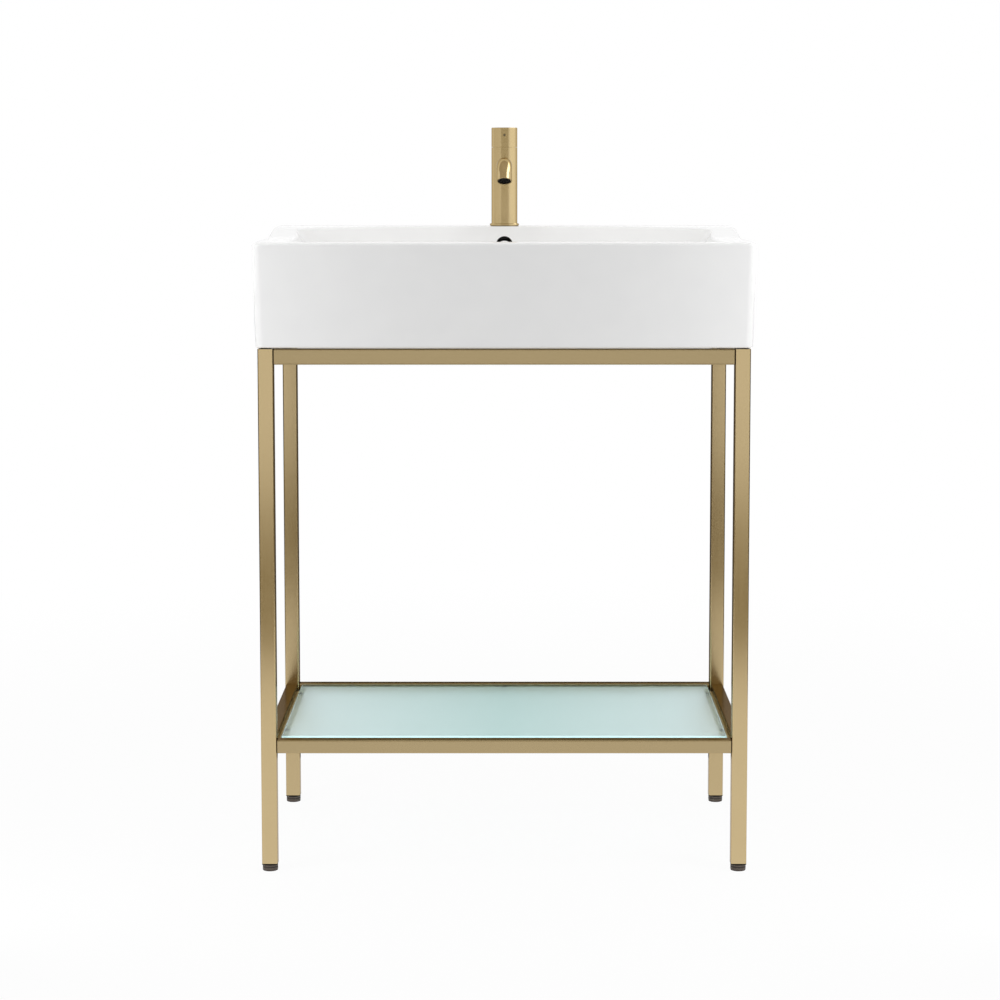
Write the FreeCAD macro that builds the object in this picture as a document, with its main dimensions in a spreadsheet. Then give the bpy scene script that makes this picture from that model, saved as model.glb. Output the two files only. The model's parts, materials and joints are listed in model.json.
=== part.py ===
"""Console vanity unit: a ceramic basin on an open frame of square tube, with a glass shelf and a tap.

Millimetres. The origin is on the floor under the middle of the basin. +Z is up, +X is to the right of
someone who stands at the basin, and -Y is towards them.
"""

import FreeCAD, Part
import math
import os
import re

import Sketcher
from FreeCAD import Placement, Rotation, Vector

SIZES = {
    # Basin casting
    "basin_width": 706,
    "basin_depth": 456,
    "basin_height": 147.5,
    "basin_taper": 4,
    "basin_corner": 12,
    "basin_foot_round": 3,
    "skirt_wall": 14,
    "rim_plate": 14,
    "rim_round": 5,
    "deck_rise": 14,
    "rise_setback": 74,
    "rise_length": 194,
    # Bowl
    "rim_side": 45,
    "rim_front": 34,
    "deck_depth": 95,
    "bowl_bow": 46,
    "bowl_bow_run": 158,
    "bowl_bow_round": 220,
    "bowl_corner": 30,
    "bowl_floor_level": 40,
    "bowl_wall": 12,
    "floor_side_share": 0.118506,
    "floor_front_share": 0.195719,
    "floor_rear_share": 0.192661,
    "floor_bow": 24,
    "floor_bow_run": 120,
    "floor_corner": 52,
    "floor_round": 36,
    "floor_wall": 18,
    "drain_hole": 45,
    # Overflow cast into the back of the bowl
    "overflow_hole": 26,
    "overflow_drop": 28,
    "overflow_width": 30,
    "overflow_channel": 10,
    "overflow_wall": 8,
    "overflow_passage": 8,
    "overflow_sole": 4,
    "overflow_headroom": 2,
    # Frame
    "frame_height": 748,
    "front_overhang": 6,
    "rear_overhang": 36,
    "side_overhang": 3,
    "tube_side": 22,
    "tube_wall": 1.5,
    "tube_round": 2.2,
    "basin_pad_height": 2,
    "basin_pad_width": 9,
    "basin_pad_length": 40,
    "basin_pad_spacing": 140,
    "top_plug_length": 10,
    "plug_clearance": 0.2,
    # Joints of the front and rear rails
    "spigot_length": 30,
    "spigot_clearance": 0.3,
    "grub_diameter": 5,
    "grub_length": 7,
    "grub_setback": 15,
    "grub_clearance": 0.1,
    # Glass shelf
    "shelf_height": 190,
    "shelf_tube": 19,
    "glass_thickness": 8,
    "glass_gap": 6,
    "glass_proud": 0.5,
    "glass_corner": 4,
    "glass_bevel": 0.8,
    "ledge_width": 14,
    "ledge_thickness": 2,
    "bumper_diameter": 8,
    "bumper_height": 1.5,
    "bumper_setback": 60,
    # Levelling feet
    "sole_height": 1.5,
    "sole_inset": 0.3,
    "puck_diameter": 22,
    "puck_height": 8,
    "puck_groove": 0.8,
    "puck_groove_height": 1.2,
    "puck_edge": 0.8,
    "stud_diameter": 8,
    "stud_length": 38,
    "stud_seat": 2,
    "stud_clearance": 0.3,
    "plug_flange": 1.5,
    "plug_length": 20,
    # Tap
    "tap_setback": 52,
    "tap_hole": 35,
    "tap_diameter": 40,
    "tap_height": 151.5,
    "tap_cap_height": 30,
    "tap_cap_gap": 0.4,
    "tap_cap_wall": 2.5,
    "tap_cap_top": 6,
    "tap_cap_edge": 1,
    "tap_chamber": 22,
    "tap_fit": 0.1,
    "ring_diameter": 45,
    "ring_height": 3,
    "ring_edge": 0.8,
    "gasket_height": 0.8,
    "gasket_inset": 1,
    "spout_diameter": 23,
    "spout_wall": 1.5,
    "spout_height": 93.5,
    "spout_reach": 112,
    "spout_bend": 30,
    "spout_tail": 9,
    "spout_seat": 13,
    "outlet_tilt": 28,
    "aerator_recess": 0.8,
    "aerator_length": 9,
    "aerator_wall": 1.4,
    "aerator_insert_recess": 1,
    "aerator_insert_height": 5,
    "cartridge_diameter": 26,
    "cartridge_seat_wall": 1,
    "cartridge_neck": 18,
    "cartridge_rise": 9.4,
    "cartridge_bore_depth": 10,
    "cartridge_nut_engage": 6.6,
    "cartridge_nut_flange": 31,
    "cartridge_nut_height": 6,
    "spindle_diameter": 8,
    "spindle_clearance": 0.4,
    "spindle_end_gap": 0.5,
    "socket_depth": 9.5,
    "socket_roof": 1.5,
    "socket_diameter": 16,
    "index_diameter": 3.6,
    "index_drop": 11.5,
    "index_recess": 0.2,
    "shank_diameter": 30,
    "shank_length": 62,
    "shank_engage": 12,
    "inlet_diameter": 10,
    "inlet_depth": 15,
    "inlet_spacing": 15,
    "waterway_diameter": 6,
    "clamp_diameter": 42,
    "rubber_washer_height": 3,
    "steel_washer_height": 2,
    "tap_nut_flats": 38,
    "tap_nut_height": 10,
}

# How far a cutting outline reaches past what it cuts
CUT_MARGIN = "5"

# How near an edge lies to a level, or to a line, to count as on it
ON_LEVEL = 0.01
NEAR_LINE = 1

# The upward share of the normal of a wall is under the first, and that of a rim over the second
WALL_UPWARD_SHARE = 0.9
RIM_UPWARD_SHARE = 0.99

# The degree of the rim's crown curve
CROWN_DEGREE = 3

doc = FreeCAD.newDocument("console_vanity")
sheet = doc.addObject("Spreadsheet::Sheet", "Sizes")
for row, (size_name, size) in enumerate(SIZES.items(), start=1):
    sheet.set(f"A{row}", size_name)
    sheet.set(f"B{row}", str(size))
    sheet.setAlias(f"B{row}", size_name)
doc.recompute()

sub_parts = []


# Formulas of the sizes

def formula(text):
    """Writes each size's name in a formula as a reference to its cell."""
    return re.sub(r"[a-z_]\w*", lambda word: f"Sizes.{word[0]}" if word[0] in SIZES else word[0], text)


def value(text):
    return float(sheet.evalExpression(formula(text)))


def bind(thing, place, text):
    thing.setExpression(place, formula(text))


FRONT = "(-basin_depth / 2)"
REAR = "(basin_depth / 2)"
LEG_FOOT = "(sole_height + puck_height + plug_flange)"
FRAME_FRONT = f"({FRONT} + basin_taper + front_overhang)"
FRAME_REAR = f"({REAR} - rear_overhang)"
FRAME_SIDE = "(basin_width / 2 - basin_taper - side_overhang)"
LEG_X = f"({FRAME_SIDE} - tube_side / 2)"
LEG_FRONT = f"({FRAME_FRONT} + tube_side / 2)"
LEG_REAR = f"({FRAME_REAR} - tube_side / 2)"
FRAME_MIDDLE = f"(({FRAME_FRONT} + {FRAME_REAR}) / 2)"
CROSS_LENGTH = f"(2 * {LEG_X} - tube_side)"
SIDE_LENGTH = f"({LEG_REAR} - {LEG_FRONT} - tube_side)"
SHELF_AXIS = "(shelf_height - shelf_tube / 2)"
TOP_AXIS = "(frame_height - tube_side / 2)"
BASIN_FOOT = "(frame_height + basin_pad_height)"
DECK = f"({BASIN_FOOT} + basin_height + deck_rise)"
TAP_Y = f"({REAR} - tap_setback)"
LEGS = [
    (row, hand, x, y)
    for row, y in (("front", LEG_FRONT), ("rear", LEG_REAR))
    for hand, x in (("left", f"(-{LEG_X})"), ("right", LEG_X))
]


# Ways of making a piece

def keep(piece):
    """Counts a finished piece as one that is written to its own file."""
    sub_parts.append(piece)
    return piece


def place(piece, at):
    for axis, text in zip("xyz", at):
        bind(piece, f"Placement.Base.{axis}", text)
    return piece


def new_body(label, at=("0", "0", "0")):
    body = doc.addObject("PartDesign::Body", label)
    body.Label = label
    return place(body, at)


def new_sketch(body, plane, offset="0"):
    sketch = body.newObject("Sketcher::SketchObject", f"{body.Name}_sketch")
    origin_plane = next(f for f in body.Origin.OriginFeatures if f.Role == plane)
    sketch.AttachmentSupport = [(origin_plane, "")]
    sketch.MapMode = "FlatFace"
    bind(sketch, "AttachmentOffset.Base.z", offset)
    return sketch


def hold(sketch, point, across, up):
    """Holds one point of a sketch at a place given by two formulas."""
    for kind, text, axis in (("DistanceX", across, -2), ("DistanceY", up, -1)):
        if text == "0":
            sketch.addConstraint(Sketcher.Constraint("PointOnObject", *point, axis))
        else:
            index = sketch.addConstraint(Sketcher.Constraint(kind, -1, 1, *point, value(text)))
            bind(sketch, f"Constraints[{index}]", text)


def add_outline(sketch, corners):
    """Adds a closed outline of straight sides, with corners (across, up) or (across, up, radius)."""
    points = [Vector(value(corner[0]), value(corner[1]), 0) for corner in corners]
    count = len(points)
    towards = [(points[(i + 1) % count] - points[i]).normalize() for i in range(count)]
    rounds = {i: corner[2] for i, corner in enumerate(corners) if len(corner) == 3}
    before, after = list(points), list(points)
    for i, radius in rounds.items():
        trim = value(radius) * math.tan(towards[i - 1].getAngle(towards[i]) / 2)
        before[i] = points[i] - towards[i - 1] * trim
        after[i] = points[i] + towards[i] * trim
    sides = [sketch.addGeometry(Part.LineSegment(after[i], before[(i + 1) % count])) for i in range(count)]
    for i in range(count):
        came, goes = sides[i - 1], sides[i]
        if i not in rounds:
            sketch.addConstraint(Sketcher.Constraint("Coincident", came, 2, goes, 1))
            hold(sketch, (goes, 1), *corners[i])
            continue
        left_turn = towards[i - 1].cross(towards[i]).z > 0
        inward = Vector(-towards[i - 1].y, towards[i - 1].x, 0) * (1 if left_turn else -1)
        centre = before[i] + inward * value(rounds[i])
        ends = [before[i], after[i]] if left_turn else [after[i], before[i]]
        angles = [math.atan2(end.y - centre.y, end.x - centre.x) for end in ends]
        circle = Part.Circle(centre, Vector(0, 0, 1), value(rounds[i]))
        arc = sketch.addGeometry(Part.ArcOfCircle(circle, *angles))
        first, last = (1, 2) if left_turn else (2, 1)
        corner = sketch.addGeometry(Part.Point(points[i]), True)
        sketch.addConstraint([
            Sketcher.Constraint("Tangent", came, 2, arc, first),
            Sketcher.Constraint("Tangent", goes, 1, arc, last),
            Sketcher.Constraint("PointOnObject", corner, 1, came),
            Sketcher.Constraint("PointOnObject", corner, 1, goes),
        ])
        hold(sketch, (corner, 1), *corners[i][:2])
        index = sketch.addConstraint(Sketcher.Constraint("Radius", arc, value(rounds[i])))
        bind(sketch, f"Constraints[{index}]", rounds[i])


def add_crowned(sketch, poles, corners):
    """Adds a closed outline of one smooth curve, steered by its poles, and straight sides by the corners."""
    crown = [Vector(value(across), value(up), 0) for across, up in poles]
    curve = Part.BSplineCurve()
    curve.buildFromPoles(crown, False, CROWN_DEGREE)
    index = sketch.addGeometry(curve)
    sketch.exposeInternalGeometry(index)
    for step, pole in enumerate(poles, 1):
        hold(sketch, (index + step, 3), *pole)
    points = [crown[-1], *(Vector(value(across), value(up), 0) for across, up in corners), crown[0]]
    sides = [sketch.addGeometry(Part.LineSegment(*ends)) for ends in zip(points, points[1:])]
    chain = [index, *sides]
    for came, goes in zip(chain, [*sides, index]):
        sketch.addConstraint(Sketcher.Constraint("Coincident", came, 2, goes, 1))
    for side, corner in zip(sides[1:], corners):
        hold(sketch, (side, 1), *corner)


def add_circle(sketch, across, up, diameter):
    circle = Part.Circle(Vector(value(across), value(up), 0), Vector(0, 0, 1), value(diameter) / 2)
    ring = sketch.addGeometry(circle)
    hold(sketch, (ring, 3), across, up)
    index = sketch.addConstraint(Sketcher.Constraint("Diameter", ring, value(diameter)))
    bind(sketch, f"Constraints[{index}]", diameter)


def rectangle(left, right, low, high, radius=None):
    ends = [(left, low), (right, low), (right, high), (left, high)]
    return [(*end, radius) if radius else end for end in ends]


def square(side, radius=None):
    return rectangle(f"(-{side} / 2)", f"({side} / 2)", f"(-{side} / 2)", f"({side} / 2)", radius)


def pad(body, sketch, length, side="One side"):
    feature = body.newObject("PartDesign::Pad", f"{body.Name}_pad")
    feature.Profile = sketch
    feature.SideType = side
    bind(feature, "Length", length)
    return feature


def pocket(body, sketch, length=None, side="One side", turned=False):
    """Cuts along a sketch, against its normal unless turned, right through where no length is given."""
    feature = body.newObject("PartDesign::Pocket", f"{body.Name}_pocket")
    feature.Profile = sketch
    feature.SideType = side
    feature.Reversed = turned
    if length is None:
        feature.Type = "ThroughAll"
    else:
        bind(feature, "Length", length)
    return feature


SKETCH_TURNS = {
    "XY_Plane": Rotation(),
    "XZ_Plane": Rotation(Vector(1, 0, 0), 90),
    "YZ_Plane": Rotation(Vector(1, 1, 1), 120),
}


def free_sketch(label, plane, outlines, level="0"):
    """A sketch that belongs to no body, on a plane through the origin or on a level plane."""
    sketch = doc.addObject("Sketcher::SketchObject", f"{label}_sketch")
    sketch.Placement = Placement(Vector(), SKETCH_TURNS[plane])
    bind(sketch, "Placement.Base.z", level)
    for corners in outlines:
        add_outline(sketch, corners)
    return sketch


def extrusion(label, sketch, length, symmetric=False):
    piece = doc.addObject("Part::Extrusion", label)
    piece.Base = sketch
    piece.DirMode = "Normal"
    piece.Solid = True
    piece.Symmetric = symmetric
    bind(piece, "LengthFwd", length)
    return piece


def loft(label, sections):
    """A straight loft through level outlines, given as (level, corners)."""
    piece = doc.addObject("Part::Loft", label)
    piece.Sections = [free_sketch(label, "XY_Plane", [corners], level) for level, corners in sections]
    piece.Solid = True
    piece.Ruled = True
    return piece


def fuse(label, members):
    piece = doc.addObject("Part::MultiFuse", label)
    piece.Shapes = members
    return piece


def fillet(label, base, radius, wanted):
    """Rounds the edges of a piece that the test wants."""
    doc.recompute()
    piece = doc.addObject("Part::Fillet", label)
    piece.Base = base
    size = value(radius)
    edges = enumerate(base.Shape.Edges, start=1)
    piece.Edges = [(i, size, size) for i, edge in edges if wanted(base.Shape, edge)]
    return piece


def turned(label, at, profile):
    """Makes a turned piece from its half section, as (radius, height) corners about an upright axis."""
    body = new_body(label, at)
    sketch = new_sketch(body, "XZ_Plane")
    add_outline(sketch, profile)
    feature = body.newObject("PartDesign::Revolution", f"{label}_turned")
    feature.Profile = sketch
    feature.ReferenceAxis = (sketch, ["V_Axis"])
    feature.Angle = 360
    return body


def tube_piece(label, at, inner, outer, low, high):
    """Makes a plain turned ring between two diameters and two heights."""
    return turned(label, at, rectangle(f"({inner} / 2)", f"({outer} / 2)", low, high))


def box(label, size_texts, low_corner):
    piece = doc.addObject("Part::Box", label)
    piece.Label = label
    for side, text in zip(("Length", "Width", "Height"), size_texts):
        bind(piece, side, text)
    return place(piece, low_corner)


def cylinder(label, diameter, height, foot, towards=Vector(0, 0, 1)):
    piece = doc.addObject("Part::Cylinder", label)
    piece.Label = label
    bind(piece, "Radius", f"{diameter} / 2")
    bind(piece, "Height", height)
    piece.Placement = Placement(Vector(), Rotation(Vector(0, 0, 1), towards))
    return place(piece, foot)


def cut(label, base, tool):
    piece = doc.addObject("Part::Cut", label)
    piece.Label = label
    piece.Base = base
    piece.Tool = tool
    return piece


def group(label, members):
    """Keeps several loose solids of one kind as one piece."""
    piece = doc.addObject("Part::Compound", label)
    piece.Label = label
    piece.Links = members
    return keep(piece)


def normal_at(face, point):
    return face.normalAt(*face.Surface.parameter(point))


def middle_of(edge):
    return edge.valueAt((edge.FirstParameter + edge.LastParameter) / 2)


# Basin

BOWL_OPEN = "basin_height"
BOWL_FLOOR = "bowl_floor_level"
BOWL_SOLE = f"({BOWL_FLOOR} - floor_wall)"
INSIDE_PLATE = "(basin_height - rim_plate / 2)"
DECK_LEVEL = "(basin_height + deck_rise)"
BASIN_CROWN = f"({DECK_LEVEL} + {CUT_MARGIN})"
MOUTH_WIDTH = "(basin_width - 2 * rim_side)"
MOUTH_DEPTH = "(basin_depth - rim_front - deck_depth)"
FLOOR_SIDE = f"({MOUTH_WIDTH} / 2 - floor_side_share * {MOUTH_WIDTH})"
FLOOR_FRONT = f"({FRONT} + rim_front + floor_front_share * {MOUTH_DEPTH})"
FLOOR_BACK = f"({REAR} - deck_depth - floor_rear_share * {MOUTH_DEPTH})"
DRAIN_Y = f"(({FLOOR_FRONT} + {FLOOR_BACK}) / 2)"


def at_level(open_size, floor_size, level):
    """A size of the sloping bowl at a level, from its sizes at the rim and at the floor."""
    share = f"(({BOWL_OPEN} - {level}) / ({BOWL_OPEN} - {BOWL_FLOOR}))"
    return f"({open_size} + ({floor_size} - {open_size}) * {share})"


def bowl_back(level):
    return at_level(f"({REAR} - deck_depth)", FLOOR_BACK, level)


def bowl_corners(level, wall="0"):
    """The bowl's outline at a level: square in front, with a back that bows towards the tap."""
    inner = at_level(f"({MOUTH_WIDTH} / 2)", FLOOR_SIDE, level)
    side = f"({inner} + {wall})"
    front = f"({at_level(f'({FRONT} + rim_front)', FLOOR_FRONT, level)} - {wall})"
    back = f"({bowl_back(level)} + {wall})"
    bow = at_level("bowl_bow", "floor_bow", level)
    flat = f"({inner} - {at_level('bowl_bow_run', 'floor_bow_run', level)})"
    corner = f"({at_level('bowl_corner', 'floor_corner', level)} + {wall})"
    return [
        (f"(-{side})", front, corner),
        (side, front, corner),
        (side, f"({back} - {bow})", corner),
        (flat, back, "bowl_bow_round"),
        (f"(-{flat})", back, "bowl_bow_round"),
        (f"(-{side})", f"({back} - {bow})", corner),
    ]


def duct_corners(level, width, near, far):
    back = bowl_back(level)
    return rectangle(f"(-{width} / 2)", f"({width} / 2)", f"({back} + {near})", f"({back} + {far})")


def on_rim(shape, edge):
    """True where a side wall, of the basin or of the bowl, meets the top of the rim."""
    point = middle_of(edge)
    if point.z < value("basin_height") - NEAR_LINE:
        return False
    upward = sorted(normal_at(face, point).z for face in shape.ancestorsOfType(edge, Part.Face))
    return upward[0] < WALL_UPWARD_SHARE and upward[-1] > RIM_UPWARD_SHARE


def basin_block():
    """The solid block of the casting: tapered, round at the corners, with a rim that climbs to the deck."""
    rise_end = f"({REAR} - rise_setback)"
    rise_start = f"({rise_end} - rise_length)"
    third = "(rise_length / 3)"
    profile = free_sketch("basin_profile", "YZ_Plane", [])
    low = [FRONT, f"({rise_start} - {third} * 2 / 3)", rise_start, f"({rise_start} + {third})"]
    high = [f"({rise_end} - {third})", rise_end, f"({rise_end} + {third} * 2 / 3)", REAR]
    poles = [(across, "basin_height") for across in low] + [(across, DECK_LEVEL) for across in high]
    add_crowned(profile, poles, [(REAR, "0"), (f"({FRONT} + basin_taper)", "0")])
    block = extrusion("basin_slab", profile, f"basin_width + 2 * {CUT_MARGIN}", symmetric=True)
    outer = f"(basin_width / 2 + 2 * {CUT_MARGIN})"
    below = f"(-{CUT_MARGIN})"
    low_side, high_side = (
        f"(basin_width / 2 - basin_taper * (1 - {level} / {DECK_LEVEL}))" for level in (below, BASIN_CROWN)
    )
    wedges = free_sketch("basin_tapers", "XZ_Plane", [
        [
            (f"({sign} * {low_side})", below),
            (f"({sign} * {high_side})", BASIN_CROWN),
            (f"({sign} * {outer})", BASIN_CROWN),
            (f"({sign} * {outer})", below),
        ]
        for sign in ("-1", "1")
    ])
    sides = extrusion("basin_wedges", wedges, "2 * basin_depth", symmetric=True)
    tapered = cut("basin_tapered", block, sides)

    def on_corner(shape, edge):
        """True on the four upright corners."""
        low, high = sorted(vertex.Z for vertex in edge.Vertexes)
        return low < NEAR_LINE and high > value("basin_height") - NEAR_LINE

    block = fillet("basin_block", tapered, "basin_corner", on_corner)
    return fillet("basin_rim", block, "rim_round", on_rim)


def basin_bowl():
    """The space inside the bowl, round at its floor."""
    levels = (BASIN_CROWN, BOWL_FLOOR)
    space = loft("bowl_space", [(level, bowl_corners(level)) for level in levels])
    floor_level = value(BOWL_FLOOR)

    def on_floor(shape, edge):
        return all(abs(vertex.Z - floor_level) < ON_LEVEL for vertex in edge.Vertexes)

    return fillet("bowl_round", space, "floor_round", on_floor)


def basin_waterways():
    """The overflow's hole, duct and passage to the drain, with the drain hole and the tap hole."""
    hole_level = f"({DECK_LEVEL} - overflow_drop)"
    channel_top = f"({hole_level} + overflow_hole / 2 + overflow_headroom)"
    channel_sole = f"({BOWL_SOLE} + overflow_sole)"
    channel_far = "(bowl_wall + overflow_channel)"
    channel = loft("overflow_duct", [
        (level, duct_corners(level, "overflow_width", "bowl_wall", channel_far))
        for level in (channel_top, channel_sole)
    ])
    passage_end = f"({bowl_back(channel_sole)} + {channel_far})"
    passage = box(
        "overflow_passage",
        ("overflow_width", f"({passage_end} - {DRAIN_Y})", "overflow_passage"),
        ("(-overflow_width / 2)", DRAIN_Y, channel_sole),
    )
    reach = f"({bowl_back(hole_level)} + bowl_wall + overflow_channel / 2)"
    hole = cylinder("overflow_bore", "overflow_hole", reach, ("0", "0", hole_level), Vector(0, 1, 0))
    drain = cylinder("drain_bore", "drain_hole", BOWL_OPEN, ("0", DRAIN_Y, "0"))
    tap = cylinder("tap_bore", "tap_hole", BASIN_CROWN, ("0", TAP_Y, "0"))
    return [channel, passage, hole, drain, tap]


def make_basin():
    inner = "(basin_width / 2 - basin_taper - skirt_wall)"
    inner_front = f"({FRONT} + basin_taper + skirt_wall)"
    inner_rear = f"({REAR} - skirt_wall)"
    underside = rectangle(f"(-{inner})", inner, inner_front, inner_rear, "basin_corner")
    hollow = extrusion("hollow", free_sketch("hollow", "XY_Plane", [underside]), "basin_height - rim_plate")
    hung = (INSIDE_PLATE, BOWL_SOLE)
    shell = loft("bowl_shell", [(level, bowl_corners(level, "bowl_wall")) for level in hung])
    duct_far = "(bowl_wall + overflow_channel + overflow_wall)"
    duct_width = "(overflow_width + 2 * overflow_wall)"
    duct = loft("duct_shell", [(level, duct_corners(level, duct_width, "0", duct_far)) for level in hung])
    skirt = cut("basin_skirt", basin_block(), hollow)
    casting = cut("basin_casting", fuse("basin_hung", [skirt, shell, duct]), basin_bowl())
    mouth = fillet("bowl_mouth", casting, "rim_round", on_rim)

    def on_outer_foot(shape, edge):
        point = middle_of(edge)
        beside = abs(point.x) > value(inner) + NEAR_LINE
        in_front = point.y < value(inner_front) - NEAR_LINE
        behind = point.y > value(inner_rear) + NEAR_LINE
        level = all(abs(vertex.Z) < ON_LEVEL for vertex in edge.Vertexes)
        return level and (beside or in_front or behind)

    foot = fillet("basin_foot", mouth, "basin_foot_round", on_outer_foot)
    keep(place(cut("basin", foot, fuse("waterways", basin_waterways())), ("0", "0", BASIN_FOOT)))


# Frame

def make_tube(label, plane, side, length, at):
    """A straight length of square tube, centred on its place."""
    body = new_body(label, at)
    section = new_sketch(body, plane)
    add_outline(section, square(side, "tube_round"))
    add_outline(section, square(f"({side} - 2 * tube_wall)", "(tube_round - tube_wall)"))
    pad(body, section, length, "Symmetric")
    return keep(body)


def make_cross_rail(label, side, at):
    """A front or rear rail, with a screw hole under each end."""
    rail = make_tube(label, "YZ_Plane", side, CROSS_LENGTH, at)
    holes = new_sketch(rail, "XY_Plane")
    reach = f"({CROSS_LENGTH} / 2 - grub_setback)"
    for across in (f"(-{reach})", reach):
        add_circle(holes, across, "0", "(grub_diameter + 2 * grub_clearance)")
    pocket(rail, holes)


def make_frame():
    leg_length = f"(frame_height - {LEG_FOOT})"
    leg_middle = f"(({LEG_FOOT} + frame_height) / 2)"
    for row, hand, x, y in LEGS:
        make_tube(f"leg_{row}_{hand}", "XY_Plane", "tube_side", leg_length, (x, y, leg_middle))
    for level, side, axis in (("top", "tube_side", TOP_AXIS), ("shelf", "shelf_tube", SHELF_AXIS)):
        for row, y in (("front", LEG_FRONT), ("rear", LEG_REAR)):
            make_cross_rail(f"{level}_rail_{row}", side, ("0", y, axis))
        for hand, x in (("left", f"(-{LEG_X})"), ("right", LEG_X)):
            make_tube(f"{level}_rail_{hand}", "XZ_Plane", side, SIDE_LENGTH, (x, FRAME_MIDDLE, axis))


def make_rail_joints():
    """Square spigots on the legs that the front and rear rails slide over, and their screws from below."""
    spigots, screws = [], []
    for level, side, axis in (("top", "tube_side", TOP_AXIS), ("shelf", "shelf_tube", SHELF_AXIS)):
        thickness = f"({side} - 2 * tube_wall - 2 * spigot_clearance)"
        sole = f"({axis} - {side} / 2)"
        for row, y in (("front", LEG_FRONT), ("rear", LEG_REAR)):
            for hand, sign in (("left", "-1"), ("right", "1")):
                name = f"{level}_{row}_{hand}"
                end = f"({sign} * {CROSS_LENGTH} / 2)"
                low = f"({end} - (1 + {sign}) / 2 * spigot_length)"
                corner = (low, f"({y} - {thickness} / 2)", f"({axis} - {thickness} / 2)")
                block = box(f"block_{name}", ("spigot_length", thickness, thickness), corner)
                at = (f"({end} - {sign} * grub_setback)", y, sole)
                bore = cylinder(f"bore_{name}", "(grub_diameter + 2 * grub_clearance)", "grub_length", at)
                spigots.append(cut(f"spigot_{name}", block, bore))
                screws.append(cylinder(f"screw_{name}", "grub_diameter", "grub_length", at))
    group("rail_spigots", spigots)
    group("rail_grub_screws", screws)


def make_plugs():
    """Plastic ends pressed into the legs: plain ones on top, and flanged ones that hold the feet."""
    core = "(tube_side - 2 * tube_wall - 2 * plug_clearance)"
    core_round = "(tube_round - tube_wall)"
    tops, ends = [], []
    for row, hand, x, y in LEGS:
        top = new_body(f"top_plug_{row}_{hand}", (x, y, "(frame_height - top_plug_length)"))
        section = new_sketch(top, "XY_Plane")
        add_outline(section, square(core, core_round))
        pad(top, section, "top_plug_length")
        tops.append(top)
        end = new_body(f"end_plug_{row}_{hand}", (x, y, f"({LEG_FOOT} - plug_flange)"))
        flange = new_sketch(end, "XY_Plane")
        add_outline(flange, square("tube_side", "tube_round"))
        pad(end, flange, "plug_flange")
        stem = new_sketch(end, "XY_Plane")
        add_outline(stem, square(core, core_round))
        pad(end, stem, "plug_flange + plug_length")
        thread = new_sketch(end, "XY_Plane")
        add_circle(thread, "0", "0", "(stud_diameter + 2 * stud_clearance)")
        pocket(end, thread, turned=True)
        ends.append(end)
    group("leg_top_plugs", tops)
    group("leg_end_plugs", ends)


def make_basin_pads():
    """Soft strips on the side rails, under the basin's skirt."""
    skirt_inner = "(basin_width / 2 - basin_taper - skirt_wall)"
    middle = f"(({skirt_inner} + {FRAME_SIDE}) / 2)"
    pads = []
    for hand, sign in (("left", "-1"), ("right", "1")):
        for step in ("-1", "0", "1"):
            left = f"({sign} * {middle} - basin_pad_width / 2)"
            front = f"({FRAME_MIDDLE} + {step} * basin_pad_spacing - basin_pad_length / 2)"
            sides = ("basin_pad_width", "basin_pad_length", "basin_pad_height")
            pads.append(box(f"pad_{hand}_{len(pads)}", sides, (left, front, "frame_height")))
    group("basin_pads", pads)


# Shelf

RAIL_INNER_X = f"({LEG_X} - shelf_tube / 2)"
RAIL_INNER_FRONT = f"({LEG_FRONT} + shelf_tube / 2)"
RAIL_INNER_REAR = f"({LEG_REAR} - shelf_tube / 2)"
GLASS_TOP = "(shelf_height + glass_proud)"
LEDGE_TOP = f"({GLASS_TOP} - glass_thickness - bumper_height)"


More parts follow.
